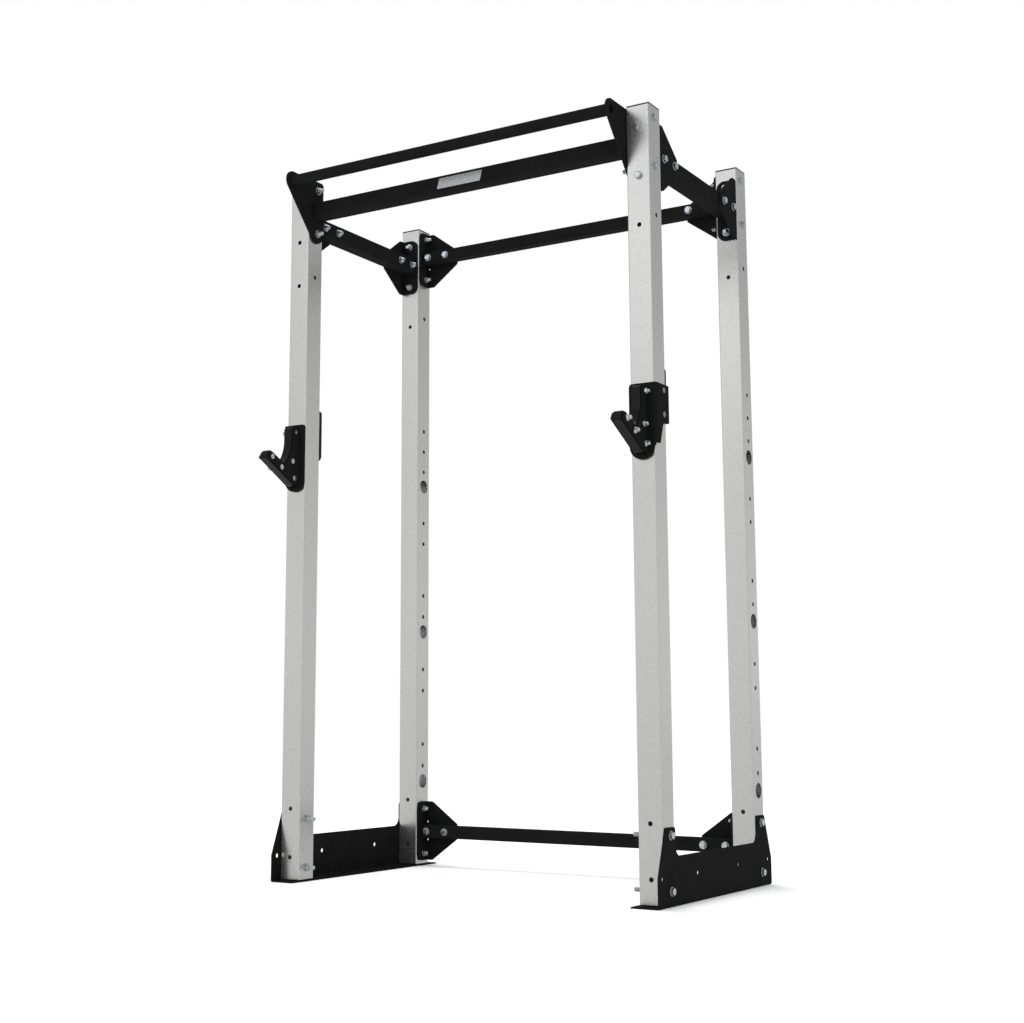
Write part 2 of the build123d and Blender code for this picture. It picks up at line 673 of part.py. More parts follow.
def cup_bracket():
    """Steel bent into a U around the upright: front plate, outer wing and rear flange."""
    half_w = HALF_POST + CUP_EDGE_OVER
    bottom_z = CUP_PLATE_TOP - CUP_PLATE_H
    round_z = bottom_z + half_w
    front = (
        Line((-half_w, CUP_PLATE_TOP), (CUP_OUT, CUP_PLATE_TOP))
        + Line((CUP_OUT, CUP_PLATE_TOP), (CUP_OUT, CUP_WING_BOTTOM))
        + Line((CUP_OUT, CUP_WING_BOTTOM), (half_w, CUP_WING_BOTTOM))
        + Line((half_w, CUP_WING_BOTTOM), (half_w, round_z))
        + ThreePointArc((half_w, round_z), (0, bottom_z), (-half_w, round_z))
        + Line((-half_w, round_z), (-half_w, CUP_PLATE_TOP))
    )
    front_plate = Pos(0, -CUP_IN, 0) * extrude(Plane.XZ * make_face(front), amount=CUP_T)
    corner = [
        e for e in front_plate.edges().filter_by(Axis.Y)
        if e.center().X < -half_w + 0.1 and e.center().Z > CUP_PLATE_TOP - 0.1
    ]
    front_plate = fillet(corner, CUP_CORNER_R)
    side = Polyline(
        (-CUP_OUT, CUP_PLATE_TOP),
        (CUP_OUT, CUP_PLATE_TOP),
        (CUP_OUT, CUP_WING_STEP),
        (CUP_SLOPE[0], CUP_WING_STEP),
        (CUP_SLOPE[1], CUP_WING_BOTTOM),
        (-CUP_OUT, CUP_WING_BOTTOM),
        close=True,
    )
    wing = Pos(CUP_IN, 0, 0) * extrude(Plane.YZ * make_face(side), amount=CUP_T)
    slope = [
        e for e in wing.edges().filter_by(Axis.X)
        if CUP_SLOPE[1] - 1.0 < e.center().Y < CUP_SLOPE[0] + 1.0
    ]
    wing = fillet(slope, CUP_SLOPE_R)
    flange = block(-CUP_FLANGE_REACH, CUP_OUT, CUP_IN, CUP_OUT, CUP_WING_STEP, CUP_PLATE_TOP)
    bracket = front_plate + wing + flange
    bends = [
        e for e in bracket.edges().filter_by(Axis.Z)
        if abs(e.center().X - CUP_OUT) < 0.1 and abs(abs(e.center().Y) - CUP_OUT) < 0.1
    ]
    bracket = fillet(bends, CUP_BEND_R)
    hole_d = SMALL_SCREW_D + SMALL_HOLE_PLAY
    for y, z in LINER_SCREWS:
        bracket = bracket - drill_x(hole_d, 4 * CUP_T, y, z, CUP_OUT)
        bracket = bracket - Pos(CUP_OUT, y, z) * TO_MINUS_X * small_cone(LINER_HEAD_D, SINK_GAP)
    for x, z in PAD_SCREWS:
        bracket = bracket - drill_y(hole_d, 4 * CUP_T, x, z, CUP_OUT)
        bracket = bracket - Pos(x, CUP_IN, z) * TO_PLUS_Y * small_cone(PAD_HEAD_D, SINK_GAP)
    return bracket


def small_cone(head_d, gap=0.0):
    """Countersink of a small screw, from z = 0 up."""
    depth = (head_d - SMALL_SCREW_D) / 2
    return Pos(0, 0, depth / 2) * Cone(head_d / 2 + gap, SMALL_SCREW_D / 2 + gap, depth)


def small_screw(head_d, length):
    shank = Pos(0, 0, length / 2) * Cylinder(SMALL_SCREW_D / 2, length)
    return shank + small_cone(head_d)


def cup_liner():
    """Plastic wear strip inside the bent bracket, against the upright."""
    in_r = HALF_POST + CUP_GAP
    top = CUP_PLATE_TOP - LINER_INSET
    low_front = CUP_PLATE_TOP - CUP_PLATE_H + HALF_POST
    low_rear = CUP_WING_STEP + LINER_INSET
    front = block(LINER_INSET - HALF_POST, CUP_IN, -CUP_IN, -in_r, low_front, top)
    outer = block(in_r, CUP_IN, -CUP_IN, CUP_IN, low_rear, top)
    rear = block(LINER_INSET - CUP_FLANGE_REACH, CUP_IN, in_r, CUP_IN, low_rear, top)
    liner = front + outer + rear
    for y, z in LINER_SCREWS:
        liner = liner - drill_x(SMALL_SCREW_D + SMALL_BITE_PLAY, 4 * LINER_T, y, z, HALF_POST)
    return liner


def liner_screws():
    screw = small_screw(LINER_HEAD_D, CUP_T + LINER_T - SCREW_SHORT)
    return [Pos(CUP_OUT, y, z) * TO_MINUS_X * screw for y, z in LINER_SCREWS]


def rear_pad():
    """Moulded block behind the rear flange; its thick head bears on the upright."""
    back = HALF_POST + PAD_OUT
    shelf = CUP_PLATE_TOP + 1.0
    low = block(-PAD_W / 2, PAD_W / 2, CUP_OUT, back, CUP_WING_STEP, shelf)
    head = block(-PAD_W / 2, PAD_W / 2, HALF_POST + CUP_GAP, back, shelf, PAD_TOP)
    pad = low + head
    ends = [
        e for e in pad.edges().filter_by(Axis.Y)
        if abs(abs(e.center().X) - PAD_W / 2) < 0.1
        and (e.center().Z > PAD_TOP - 0.1 or e.center().Z < CUP_WING_STEP + 0.1)
    ]
    pad = fillet(ends, PAD_R)
    pad = fillet(pad.faces().sort_by(Axis.Y)[-1].edges(), PAD_EDGE_R)
    for x, z in PAD_SCREWS:
        pad = pad - drill_y(SMALL_SCREW_D + SMALL_BITE_PLAY, 2 * PAD_SCREW_BITE, x, z, CUP_OUT)
    return pad


def pad_screws():
    screw = small_screw(PAD_HEAD_D, CUP_T + PAD_SCREW_BITE - SCREW_SHORT)
    return [Pos(x, CUP_IN, z) * TO_PLUS_Y * screw for x, z in PAD_SCREWS]


def place_cup(side, solid):
    """Put a piece modelled about the right upright's centre line on its own upright."""
    if side == "left":
        solid = mirror(solid, about=Plane.YZ)
    return Pos(SIDES[side] * HALF_X, -HALF_Y, 0) * solid


def cup_pieces():
    return {
        "cup_bracket": [cup_bracket()],
        "cup_hook_core": [hook_core()],
        "cup_inner_cheek": [hook_cheek(-1)],
        "cup_outer_cheek": [hook_cheek(1)],
        "cup_hook_screws": hook_screws(),
        "cup_hook_nuts": hook_nuts(),
        "cup_liner": [cup_liner()],
        "cup_liner_screws": liner_screws(),
        "cup_rear_pad": [rear_pad()],
        "cup_pad_screws": pad_screws(),
    }


# ------------------------------------------------------------------------------ export
def split_joints(joints):
    bolts = [j[0] for j in joints]
    washers = [w for j in joints for w in j[1]]
    nuts = [j[2] for j in joints]
    return bolts, washers, nuts


def frame_pieces():
    pieces = {"post_caps": post_caps()}
    for side in SIDES:
        for end in ENDS:
            pieces[f"{side}_{end}_upright"] = [upright(side, end)]
            pieces[f"{side}_{end}_side_bracket"] = [side_bracket(side, end)]
        pieces[f"{side}_base_plate"] = [base_plate(side)]
        pieces[f"{side}_pull_up_plate"] = [pull_up_plate(side)]
        pieces[f"{side}_side_beam"] = [side_beam(side)]
        pieces[f"{side}_rear_top_bracket"] = [rear_bracket(side, REAR_TOP_Z)]
        pieces[f"{side}_rear_low_bracket"] = [rear_bracket(side, REAR_LOW_Z)]
    pieces["pull_up_bar"] = [pull_up_bar()]
    pieces["front_beam"] = [front_beam()]
    pieces["badge_plate"] = [badge_plate()]
    pieces["badge_rivets"] = badge_rivets()
    pieces["rear_top_beam"] = [rear_beam(REAR_TOP_Z)]
    pieces["rear_low_beam"] = [rear_beam(REAR_LOW_Z)]
    return pieces


def fastener_pieces():
    groups = {
        "front_base_bolts": base_joints("front"),
        "rear_base_bolts": base_joints("rear"),
        "upright_bolts_x": top_joints_x(),
        "upright_bolts_y": top_joints_y(),
        "side_beam_bolts": side_beam_joints(),
        "rear_beam_bolts": rear_beam_joints(),
    }
    pieces = {}
    all_washers = []
    all_nuts = []
    for name, joints in groups.items():
        bolts, washers, nuts = split_joints(joints)
        pieces[name] = bolts
        all_washers += washers
        all_nuts += nuts
    pieces["washers"] = all_washers
    pieces["hex_nuts"] = all_nuts
    return pieces


def centring_shift(pieces):
    """Y shift that brings the middle of the whole footprint to y = 0."""
    boxes = [solid.bounding_box() for solids in pieces.values() for solid in solids]
    front = min(box.min.Y for box in boxes)
    rear = max(box.max.Y for box in boxes)
    return -(front + rear) / 2


def save(node, solids):
    shape = solids[0] if len(solids) == 1 else Compound(children=solids)
    export_step(shape, f"parts/{node}.step")


def main():
    os.makedirs("parts", exist_ok=True)
    pieces = {**frame_pieces(), **fastener_pieces()}
    for name, solids in cup_pieces().items():
        for side in SIDES:
            pieces[f"{side}_{name}"] = [place_cup(side, s) for s in solids]
    shift = centring_shift(pieces)
    print(f"shift along Y: {shift:.3f}")
    for node, solids in pieces.items():
        save(node, [Pos(0, shift, 0) * solid for solid in solids])


main()
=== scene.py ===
import json
import math

import bmesh
import bpy
from mathutils import Matrix, Vector

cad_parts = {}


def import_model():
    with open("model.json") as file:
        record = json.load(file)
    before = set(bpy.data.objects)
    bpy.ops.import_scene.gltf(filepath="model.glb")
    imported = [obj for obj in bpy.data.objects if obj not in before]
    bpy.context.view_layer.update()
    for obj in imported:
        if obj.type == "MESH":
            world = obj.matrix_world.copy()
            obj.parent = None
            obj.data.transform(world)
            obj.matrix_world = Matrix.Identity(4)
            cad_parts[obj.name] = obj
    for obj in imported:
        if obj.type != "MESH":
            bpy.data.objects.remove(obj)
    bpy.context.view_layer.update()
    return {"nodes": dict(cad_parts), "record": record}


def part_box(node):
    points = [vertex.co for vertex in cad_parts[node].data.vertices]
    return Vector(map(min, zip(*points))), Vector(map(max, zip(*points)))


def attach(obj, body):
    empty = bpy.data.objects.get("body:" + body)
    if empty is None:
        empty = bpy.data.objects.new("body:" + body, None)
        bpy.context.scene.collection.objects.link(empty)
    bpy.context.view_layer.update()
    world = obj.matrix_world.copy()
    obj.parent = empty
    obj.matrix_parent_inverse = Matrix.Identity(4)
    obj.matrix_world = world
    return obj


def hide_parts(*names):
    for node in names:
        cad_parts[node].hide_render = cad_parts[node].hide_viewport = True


# Power cage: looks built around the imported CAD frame. Metres, +X right, -Y front, +Z up.
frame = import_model()

MM = 0.001
SAME_POINT = 1e-6                # points nearer than this are one point
cap_low, cap_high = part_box("post_caps")
mid_y = (cap_low[1] + cap_high[1]) / 2          # middle of the four uprights
SLOT_OF = {s["node"]: s["material_slot"] for s in frame["record"]["subparts"]}
BODY_OF = {}
for body, nodes in frame["record"]["behaviour"]["bodies"].items():
    for node in nodes:
        BODY_OF[node] = body


# ------------------------------------------------------------------------- materials
# darkest and lightest linear colour of each finish
POST_TONE = ((0.585, 0.585, 0.58), (0.665, 0.665, 0.66))
BADGE_TONE = ((0.31, 0.325, 0.335), (0.46, 0.475, 0.485))
BLACK_TONE = ((0.0138, 0.0141, 0.0144), (0.0188, 0.0191, 0.0194))
ZINC_TONE = ((0.46, 0.49, 0.54), (0.68, 0.71, 0.75))
WORN_ZINC_TONE = ((0.19, 0.20, 0.21), (0.30, 0.31, 0.32))
HOOK_TONE = ((0.0038, 0.0038, 0.0042), (0.0062, 0.0062, 0.0066))
WEAR_TONE = ((0.009, 0.009, 0.009), (0.016, 0.016, 0.016))
CAP_TONE = ((0.035, 0.035, 0.036), (0.055, 0.055, 0.056))
MOTTLE_SPAN = (0.30, 0.72)       # noise values that give the darkest and lightest colour
SOFT_SPAN = (0.3, 0.7)

# sizes of the patterns, in cells per metre
CRYSTALS = 420.0
CRYSTAL_GRAIN = 900.0
ORANGE_PEEL = 700.0
DUST = 14.0
PLATE_GRAIN = 1500.0


class Graph:
    """Short names for building one material's nodes."""

    def __init__(self, name):
        self.material = bpy.data.materials.new(name)
        self.material.use_nodes = True
        self.tree = self.material.node_tree
        self.shader = self.tree.nodes["Principled BSDF"]
        self.coords = self.add("ShaderNodeTexCoord").outputs["Object"]

    def add(self, kind, **settings):
        node = self.tree.nodes.new(kind)
        for name, value in settings.items():
            setattr(node, name, value)
        return node

    def join(self, out, into):
        self.tree.links.new(out, into)

    def noise(self, scale, detail=3.0, roughness=0.55):
        node = self.add("ShaderNodeTexNoise")
        node.inputs["Scale"].default_value = scale
        node.inputs["Detail"].default_value = detail
        node.inputs["Roughness"].default_value = roughness
        self.join(self.coords, node.inputs["Vector"])
        return node.outputs["Fac"]

    def cells(self, scale, output):
        node = self.add("ShaderNodeTexVoronoi")
        node.inputs["Scale"].default_value = scale
        self.join(self.coords, node.inputs["Vector"])
        return node.outputs[output]

    def to_range(self, value, low, high):
        node = self.add("ShaderNodeMapRange")
        node.inputs["To Min"].default_value = low
        node.inputs["To Max"].default_value = high
        self.join(value, node.inputs["Value"])
        return node.outputs["Result"]

    def math(self, operation, a, b):
        node = self.add("ShaderNodeMath", operation=operation)
        for socket, value in zip(node.inputs, (a, b)):
            if isinstance(value, (int, float)):
                socket.default_value = value
            else:
                self.join(value, socket)
        return node.outputs["Value"]

    def ramp(self, value, stops):
        node = self.add("ShaderNodeValToRGB")
        for element, (position, colour) in zip(node.color_ramp.elements, stops):
            element.position = position
            element.color = (*colour, 1.0)
        self.join(value, node.inputs["Fac"])
        return node.outputs["Color"]

    def colour(self, value, span, tone):
        self.join(self.ramp(value, tuple(zip(span, tone))), self.shader.inputs["Base Color"])

    def roughness(self, value, low, high):
        self.join(self.to_range(value, low, high), self.shader.inputs["Roughness"])

    def bump(self, height, strength, distance):
        node = self.add("ShaderNodeBump")
        node.inputs["Strength"].default_value = strength
        node.inputs["Distance"].default_value = distance
        self.join(height, node.inputs["Height"])
        self.join(node.outputs["Normal"], self.shader.inputs["Normal"])

    def set(self, **values):
        for name, value in values.items():
            self.shader.inputs[name.replace("_", " ")].default_value = value


def galvanised(name, tone):
    """Zinc-coated steel: fine crystalline mottle, softly reflecting."""
    g = Graph(name)
    crystals = g.add("ShaderNodeSeparateColor")
    g.join(g.cells(CRYSTALS, "Color"), crystals.inputs["Color"])
    patches = g.math("MULTIPLY", crystals.outputs["Red"], 0.4)
    grain = g.math("MULTIPLY", g.noise(CRYSTAL_GRAIN, 4.0, 0.7), 0.6)
    mottle = g.math("ADD", patches, grain)
    g.colour(mottle, MOTTLE_SPAN, tone)
    g.roughness(crystals.outputs["Green"], 0.26, 0.33)
    g.set(Metallic=0.92)
    g.bump(mottle, 0.14, 0.15 * MM)
    return g.material


def black_coat():
    """Matt black powder coat with a faint orange peel and a trace of dust."""
    g = Graph("black_coated_steel")
    dust = g.noise(DUST, 4.0, 0.6)
    g.colour(dust, SOFT_SPAN, BLACK_TONE)
    g.roughness(dust, 0.60, 0.72)
    g.set(Specular_IOR_Level=0.012)
    g.bump(g.noise(ORANGE_PEEL, 2.0, 0.4), 0.12, 0.10 * MM)
    return g.material


def zinc(name, tone, clouds_per_m, roughness):
    """Zinc plate with soft clouds."""
    g = Graph(name)
    clouds = g.noise(clouds_per_m, 4.0, 0.6)
    g.colour(clouds, SOFT_SPAN, tone)
    g.roughness(clouds, *roughness)
    g.set(Metallic=1.0)
    g.bump(g.noise(PLATE_GRAIN, 2.0), 0.08, 0.05 * MM)
    return g.material


def plastic(name, tone, grain_per_m, patches_per_m, roughness, bump, specular=0.5):
    """Moulded plastic with a fine grain, and patches of more and less sheen."""
    g = Graph(name)
    grain = g.noise(grain_per_m)
    g.colour(grain, SOFT_SPAN, tone)
    g.roughness(g.noise(patches_per_m), *roughness)
    g.set(Specular_IOR_Level=specular)
    g.bump(grain, *bump)
    return g.material


MATTE_BUMP = (0.18, 0.10 * MM)   # strength and depth
GLOSS_BUMP = (0.10, 0.08 * MM)
MATERIALS = {
    "galvanised_steel": galvanised("galvanised_steel", POST_TONE),
    "black_coated_steel": black_coat(),
    "zinc_plated": zinc("zinc_plated", ZINC_TONE, 160.0, (0.18, 0.34)),
    "hook_plastic": plastic("hook_plastic", HOOK_TONE, 500.0, 30.0, (0.22, 0.30), GLOSS_BUMP, 0.17),
    "wear_plastic": plastic("wear_plastic", WEAR_TONE, 650.0, 40.0, (0.45, 0.62), MATTE_BUMP, 0.15),
    "cap_plastic": plastic("cap_plastic", CAP_TONE, 650.0, 40.0, (0.45, 0.60), MATTE_BUMP),
}


# ---------------------------------------------------------------------------- pieces
def paint(obj, material):
    obj.data.materials.clear()
    obj.data.materials.append(material)


def add_piece(name, mesh, body, slot, *replaced):
    """A finished mesh becomes a piece that rides on its body."""
    piece = bpy.data.objects.new(name, mesh)
    bpy.context.scene.collection.objects.link(piece)
    paint(piece, MATERIALS[slot])
    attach(piece, body)
    if replaced:
        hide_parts(*replaced)
    return piece


SHARP_ANGLE = math.radians(35.0)       # edges sharper than this shade as hard edges
BEVEL_ANGLE = math.radians(30.0)       # edges sharper than this are rounded
FLAT_ANGLE = math.radians(1.0)         # faces flatter than this are joined
BEVEL_STEPS = 2


def weighted(mesh):
    """Flat faces stay flat and rounded edges shade smoothly."""
    holder = bpy.data.objects.new("holder", mesh)
    bpy.context.scene.collection.objects.link(holder)
    mesh.shade_smooth()
    mesh.set_sharp_from_angle(angle=SHARP_ANGLE)
    modifier = holder.modifiers.new("normals", "WEIGHTED_NORMAL")
    modifier.keep_sharp = True
    modifier.weight = 80
    graph = bpy.context.evaluated_depsgraph_get()
    done = bpy.data.meshes.new_from_object(holder.evaluated_get(graph))
    bpy.data.objects.remove(holder)
    bpy.data.meshes.remove(mesh)
    return done


def softened(node, width):
    """The CAD node's shape with its hard edges rounded."""
    bm = bmesh.new()
    bm.from_mesh(frame["nodes"][node].data)
    bmesh.ops.remove_doubles(bm, verts=bm.verts, dist=SAME_POINT)
    bmesh.ops.dissolve_limit(bm, angle_limit=FLAT_ANGLE, verts=bm.verts, edges=bm.edges)
    sharp = [
        e for e in bm.edges
        if len(e.link_faces) == 2 and e.calc_face_angle(0.0) > BEVEL_ANGLE
    ]
    bmesh.ops.bevel(
        bm, geom=sharp, offset=width, segments=BEVEL_STEPS, profile=0.5,
        affect="EDGES", clamp_overlap=True,
    )
    bmesh.ops.recalc_face_normals(bm, faces=bm.faces)
    mesh = bpy.data.meshes.new(node)
    bm.to_mesh(mesh)
    bm.free()
    mesh = weighted(mesh)
    return add_piece(f"{node}_soft", mesh, BODY_OF[node], SLOT_OF[node], node)


# ------------------------------------------------------------------- hexagon fasteners
RING = 24                        # points round a fastener, a multiple of six
THREAD_DEPTH = 0.55 * MM
THREAD_PITCH = 1.75 * MM
THREAD_LEN = 30 * MM
COLLAR_SHARE = 0.3               # share of a lock nut's height that is the round collar
EDGE_SHARE = 0.04                # a hexagon's chamfer, as a share of its width across flats
HEAD_H = 7.5 * MM
HEAD_AF = 18 * MM
BOLT_R = 6 * MM
HEAD_ONLY_R = 8 * MM             # points further out than this belong to a head
HOLE_GAP = 0.05 * MM             # between a bolt's thread and its nut
SAME_AXIS = 1 * MM               # a nut and a head nearer than this share one bolt
FRAME_BOLTS = (
    "front_base_bolts", "rear_base_bolts", "upright_bolts_x",
    "upright_bolts_y", "side_beam_bolts", "rear_beam_bolts",
)


def loose_parts(node):
    """Lowest and highest corner, and the points, of each separate solid of a CAD node."""
    bm = bmesh.new()
    bm.from_mesh(frame["nodes"][node].data)
    bmesh.ops.remove_doubles(bm, verts=bm.verts, dist=SAME_POINT)
    bm.verts.ensure_lookup_table()
    seen = set()
    parts = []
    for start in bm.verts:
        if start.index in seen:
            continue
        seen.add(start.index)
        queue = [start]
        points = []
        while queue:
            vert = queue.pop()
            points.append(vert.co.copy())
            for edge in vert.link_edges:
                other = edge.other_vert(vert)
                if other.index not in seen:
                    seen.add(other.index)
                    queue.append(other)
        low = Vector([min(p[i] for p in points) for i in range(3)])
        high = Vector([max(p[i] for p in points) for i in range(3)])
        parts.append((low, high, points))
    bm.free()
    return parts


def hex_radius(angle, across_flats):
    off_flat = angle % (math.pi / 3) - math.pi / 6
    return across_flats / 2 / math.cos(off_flat)


def ring_of(across_flats, z, limit=None):
    """One ring of a hexagon at z, cut back to a circle of radius limit where it is wider."""
    points = []
    for i in range(RING):
        angle = 2 * math.pi * i / RING
        radius = hex_radius(angle, across_flats)
        if limit is not None:
            radius = min(radius, limit)
        points.append(Vector((radius * math.cos(angle), radius * math.sin(angle), z)))
    return points


def circle_of(radius, z):
    return ring_of(4 * radius, z, radius)


def skin(bm, rings, place, closed=False):
    """Join rings of equal count into a surface; close its two ends, or join them."""
    made = [[bm.verts.new(place @ p) for p in ring] for ring in rings]
    pairs = list(zip(made, made[1:])) + ([(made[-1], made[0])] if closed else [])
    for a, b in pairs:
        for i in range(RING):
            j = (i + 1) % RING
            bm.faces.new((a[i], a[j], b[j], b[i]))
    if not closed:
        bm.faces.new(list(reversed(made[0])))
        bm.faces.new(made[-1])


def head_rings(across_flats, height):
    """Bolt head from its chamfered top, at -height, to its washer face at 0."""
    flat = across_flats / 2
    edge = EDGE_SHARE * across_flats
    return [
        circle_of(0.86 * flat, -height),
        circle_of(0.93 * flat, -height + 0.2 * edge),
        ring_of(across_flats, -height + edge, 1.03 * flat),
        ring_of(across_flats, -height + 2.2 * edge),
        ring_of(across_flats, -0.7 * edge),
        circle_of(0.96 * flat, -0.5 * edge),
        circle_of(0.96 * flat, 0.0),
    ]


def shank_rings(radius, length):
    rings = [circle_of(radius, 0.0)]
    start = length - THREAD_LEN
    turns = int((THREAD_LEN - THREAD_PITCH) / THREAD_PITCH)
    for i in range(turns):
        z = start + i * THREAD_PITCH
        rings.append(circle_of(radius, z))
        rings.append(circle_of(radius - THREAD_DEPTH, z + THREAD_PITCH / 2))
    rings.append(circle_of(radius, length - THREAD_PITCH))
    rings.append(circle_of(radius - 1.2 * THREAD_DEPTH, length))
    return rings


def nut_rings(across_flats, height, hole):
    """Hexagon with chamfered ends and a round collar on top, as a closed band round its hole."""
    flat = across_flats / 2
    edge = EDGE_SHARE * across_flats
    body = height * (1.0 - COLLAR_SHARE)
    return [
        circle_of(hole, 0.0),
        circle_of(0.95 * flat, 0.0),
        ring_of(across_flats, edge),
        ring_of(across_flats, body - 2 * edge),
        circle_of(0.97 * flat, body),
        circle_of(0.88 * flat, body + 0.5 * edge),
        circle_of(0.86 * flat, height - edge),
        circle_of(0.78 * flat, height),
        circle_of(0.74 * flat, height - 0.3 * edge),
        circle_of(0.72 * flat, height - 1.6 * edge),
        circle_of(hole, height - 1.6 * edge),
    ]


def insert_rings(across_flats, height, hole):
    """Dark ring seated in a lock nut's collar."""
    flat = across_flats / 2
    edge = EDGE_SHARE * across_flats
    return [
        circle_of(hole, height - 1.6 * edge),
        circle_of(0.72 * flat, height - 1.6 * edge),
        circle_of(0.72 * flat, height - 0.6 * edge),
        circle_of(hole, height - 0.4 * edge),
    ]


def frame_along(origin, axis, sign):
    """Local +Z along the signed axis, local +X where the CAD hexagon has a corner."""
    z = Vector((0, 0, 0))
    z[axis] = sign
    x = Vector((0, 0, 1)) if axis == 0 else Vector((1, 0, 0))
    y = z.cross(x)
    turn = Matrix((x, y, z)).transposed().to_4x4()
    return Matrix.Translation(origin) @ turn


def bolt_places(node):
    """Origin at the bearing face, axis, direction from head to tail, and the sizes."""
    places = []
    for low, high, points in loose_parts(node):
        size = high - low
        axis = max(range(3), key=lambda i: size[i])
        middle = (low + high) / 2
        others = [i for i in range(3) if i != axis]
        wide = [
            p[axis] for p in points
            if math.hypot(*(p[i] - middle[i] for i in others)) > HEAD_ONLY_R
        ]
        at_low = (min(wide) + max(wide)) / 2 < middle[axis]
        origin = middle.copy()
        origin[axis] = low[axis] + HEAD_H if at_low else high[axis] - HEAD_H
        places.append((origin, axis, 1 if at_low else -1, size[axis] - HEAD_H))
    return places


def finished(bm, name, body, slot, *replaced):
    bmesh.ops.recalc_face_normals(bm, faces=bm.faces)
    mesh = bpy.data.meshes.new(name)
    bm.to_mesh(mesh)
    bm.free()
    return add_piece(name, weighted(mesh), body, slot, *replaced)


def bolts(node):
    bm = bmesh.new()
    for origin, axis, sign, length in bolt_places(node):
        place = frame_along(origin, axis, sign)
        skin(bm, head_rings(HEAD_AF, HEAD_H), place)
        skin(bm, shank_rings(BOLT_R, length), place)
    finished(bm, f"{node}_threaded", BODY_OF[node], SLOT_OF[node], node)


def lock_nuts(node, heads):
    """Each nut's collar points away from its own bolt's head."""
    steel = bmesh.new()
    inserts = bmesh.new()
    for low, high, _ in loose_parts(node):
        size = high - low
        axis = min(range(3), key=lambda i: size[i])
        middle = (low + high) / 2
        others = [i for i in range(3) if i != axis]
        own = [
            h for h in heads
            if all(abs(h[i] - middle[i]) < SAME_AXIS for i in others)
        ]
        head = min(own, key=lambda h: abs(h[axis] - middle[axis]))
        sign = 1 if middle[axis] > head[axis] else -1
        origin = middle.copy()
        origin[axis] -= sign * size[axis] / 2
        place = frame_along(origin, axis, sign)
        across = sorted(size)[1]
        hole = across / 3 + HOLE_GAP
        skin(steel, nut_rings(across, size[axis], hole), place, closed=True)
        skin(inserts, insert_rings(across, size[axis], hole), place, closed=True)
    finished(steel, f"{node}_detailed", BODY_OF[node], SLOT_OF[node], node)
    finished(inserts, f"{node}_inserts", BODY_OF[node], "cap_plastic")


def inner_end(low, high):
    """End of a hook screw nearer the cage's middle, where its head is."""
    return low[0] if abs(low[0]) < abs(high[0]) else high[0]


def hexagon_fasteners():
    heads = []
    for node in FRAME_BOLTS:
        heads += [place[0] for place in bolt_places(node)]
        bolts(node)
    lock_nuts("hex_nuts", heads)
    for side in ("left", "right"):
        starts = []
        for low, high, _ in loose_parts(f"{side}_cup_hook_screws"):
            start = (low + high) / 2
            start[0] = inner_end(low, high)
            starts.append(start)
        lock_nuts(f"{side}_cup_hook_nuts", starts)


def paint_frame():
    """The J-cup liners' screws are dull grey; every other node has its slot's finish."""
    worn = zinc("dull_zinc", WORN_ZINC_TONE, 220.0, (0.30, 0.45))
    for name, node in frame["nodes"].items():
        paint(node, worn if name.endswith("liner_screws") else MATERIALS[SLOT_OF[name]])


# how far the hard edges of each kind of node are rounded, by the end of its name
EDGE_OF = (
    (("_bracket", "_base_plate", "_pull_up_plate"), 0.7 * MM),
    (("_cheek",), 1.5 * MM),
    (("_hook_core",), 2.5 * MM),
    (("post_caps", "_rear_pad"), 1.2 * MM),
    (("_cup_liner", "_beam", "_bar", "badge_plate"), 0.4 * MM),
    (("washers",), 0.45 * MM),
    (("_upright",), 0.35 * MM),
)

paint_frame()
for name in list(frame["nodes"]):
    for endings, width in EDGE_OF:
        if name.endswith(endings):
            piece = softened(name, width)
            if name == "badge_plate":
                paint(piece, galvanised("badge_steel", BADGE_TONE))
hexagon_fasteners()


# ----------------------------------------------------------------------- stage, lights
FLOOR_SIZE = 60.0
FLOOR_SEEN = (1.92, 1.92, 1.92)  # the camera sees a nearly white floor,
FLOOR_BOUNCE = (1.12, 1.11, 1.07)              # which throws a moderate light on the object
WORLD_SIDE = (-0.55, -0.83, 0.0)               # where the room is a little brighter
WORLD_SIDE_GAIN = 0.10
WORLD_RISE = (-0.02, 0.30)       # from the low colour to the high one, by the direction's z
WORLD_LOW = (1.08, 1.075, 1.045)
WORLD_HIGH = (0.515, 0.52, 0.525)
WHITE = (1.0, 1.0, 1.0)
SENSOR_W = 36.0
LENS = 55.65
LENS_SHIFT = (0.0730, -0.0457)
CAMERA_AT = (2.37935, mid_y - 4.1325, 0.48074)
CAMERA_TURN = (math.pi / 2 + 0.15766, -0.00233, 0.57371)
FAR_CLIP = 200.0


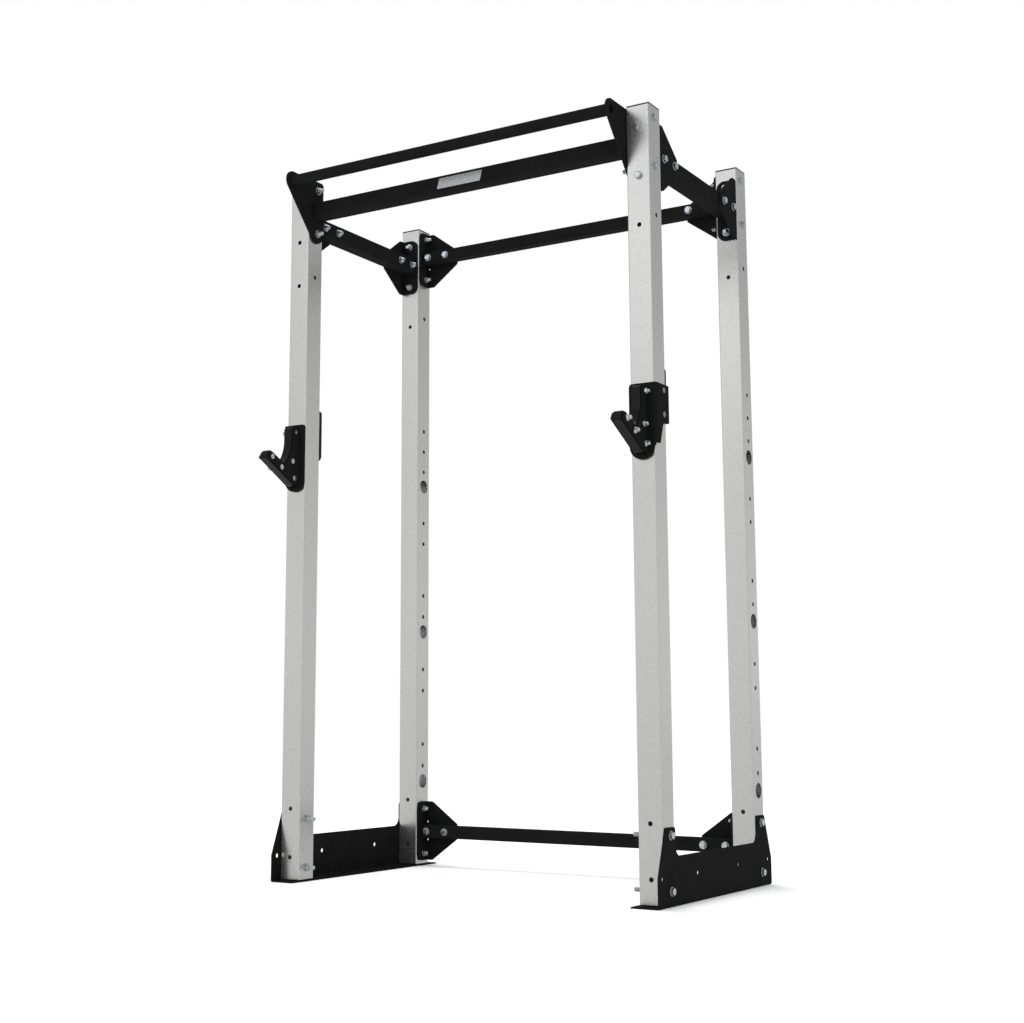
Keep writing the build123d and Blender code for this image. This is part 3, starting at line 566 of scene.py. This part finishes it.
def floor():
    bm = bmesh.new()
    bmesh.ops.create_grid(bm, x_segments=1, y_segments=1, size=FLOOR_SIZE / 2)
    mesh = bpy.data.meshes.new("floor")
    bm.to_mesh(mesh)
    bm.free()
    obj = bpy.data.objects.new("floor", mesh)
    bpy.context.scene.collection.objects.link(obj)
    g = Graph("floor_white")
    seen = g.add("ShaderNodeBsdfDiffuse")
    seen.inputs["Color"].default_value = (*FLOOR_SEEN, 1.0)
    lighting = g.add("ShaderNodeBsdfDiffuse")
    lighting.inputs["Color"].default_value = (*FLOOR_BOUNCE, 1.0)
    path = g.add("ShaderNodeLightPath")
    mix = g.add("ShaderNodeMixShader")
    g.join(path.outputs["Is Camera Ray"], mix.inputs["Fac"])
    g.join(lighting.outputs["BSDF"], mix.inputs[1])
    g.join(seen.outputs["BSDF"], mix.inputs[2])
    g.join(mix.outputs["Shader"], g.tree.nodes["Material Output"].inputs["Surface"])
    paint(obj, g.material)


def area_light(name, location, target, size, power):
    light = bpy.data.lights.new(name, "AREA")
    light.shape = "RECTANGLE"
    light.size, light.size_y = size
    light.energy = power
    light.color = WHITE
    obj = bpy.data.objects.new(name, light)
    obj.location = location
    obj.rotation_euler = (Vector(target) - Vector(location)).to_track_quat("-Z", "Y").to_euler()
    bpy.context.scene.collection.objects.link(obj)


def world():
    """A room that is brightest low down and towards the front left; the backdrop looks white."""
    made = bpy.data.worlds.new("studio")
    bpy.context.scene.world = made
    made.use_nodes = True
    nodes = made.node_tree.nodes
    join = made.node_tree.links.new

    def to_range(value, from_low, from_high, low, high):
        node = nodes.new("ShaderNodeMapRange")
        for name, number in (
            ("From Min", from_low), ("From Max", from_high), ("To Min", low), ("To Max", high)
        ):
            node.inputs[name].default_value = number
        join(value, node.inputs["Value"])
        return node.outputs["Result"]

    def blend(factor, first, second):
        node = nodes.new("ShaderNodeMix")
        node.data_type = "RGBA"
        join(factor, node.inputs["Factor"])
        colours = [socket for socket in node.inputs if socket.type == "RGBA"]
        for socket, value in zip(colours, (first, second)):
            if isinstance(value, tuple):
                socket.default_value = (*value, 1.0)
            else:
                join(value, socket)
        return next(socket for socket in node.outputs if socket.type == "RGBA")

    direction = nodes.new("ShaderNodeTexCoord").outputs["Generated"]
    facing = nodes.new("ShaderNodeVectorMath")
    facing.operation = "DOT_PRODUCT"
    facing.inputs[1].default_value = Vector(WORLD_SIDE).normalized()
    join(direction, facing.inputs[0])
    split = nodes.new("ShaderNodeSeparateXYZ")
    join(direction, split.inputs["Vector"])
    by_height = blend(to_range(split.outputs["Z"], *WORLD_RISE, 0.0, 1.0), WORLD_LOW, WORLD_HIGH)
    side_gain = (1.0 - WORLD_SIDE_GAIN, 1.0 + WORLD_SIDE_GAIN)
    by_side = to_range(facing.outputs["Value"], -1.0, 1.0, *side_gain)
    lighting = nodes.new("ShaderNodeVectorMath")
    lighting.operation = "SCALE"
    join(by_height, lighting.inputs[0])
    join(by_side, lighting.inputs["Scale"])
    path = nodes.new("ShaderNodeLightPath")
    colour = blend(path.outputs["Is Camera Ray"], lighting.outputs["Vector"], WHITE)
    join(colour, nodes["Background"].inputs["Color"])


def camera():
    """The photograph's viewpoint: low, in front and to the right, looking up a little."""
    data = bpy.data.cameras.new("camera")
    data.sensor_width = SENSOR_W
    data.lens = LENS
    data.shift_x, data.shift_y = LENS_SHIFT
    data.clip_end = FAR_CLIP
    obj = bpy.data.objects.new("camera", data)
    obj.location = CAMERA_AT
    obj.rotation_euler = CAMERA_TURN
    bpy.context.scene.collection.objects.link(obj)
    bpy.context.scene.camera = obj


floor()
world()
area_light("softbox", (-1.9, -5.7, 4.2), (0.0, mid_y, 1.3), (5.0, 3.0), 30.0)
area_light("top", (-0.6, 0.8, 5.5), (0.0, mid_y, 0.8), (1.6, 1.6), 45.0)
camera()
bpy.context.scene.view_settings.view_transform = "Standard"
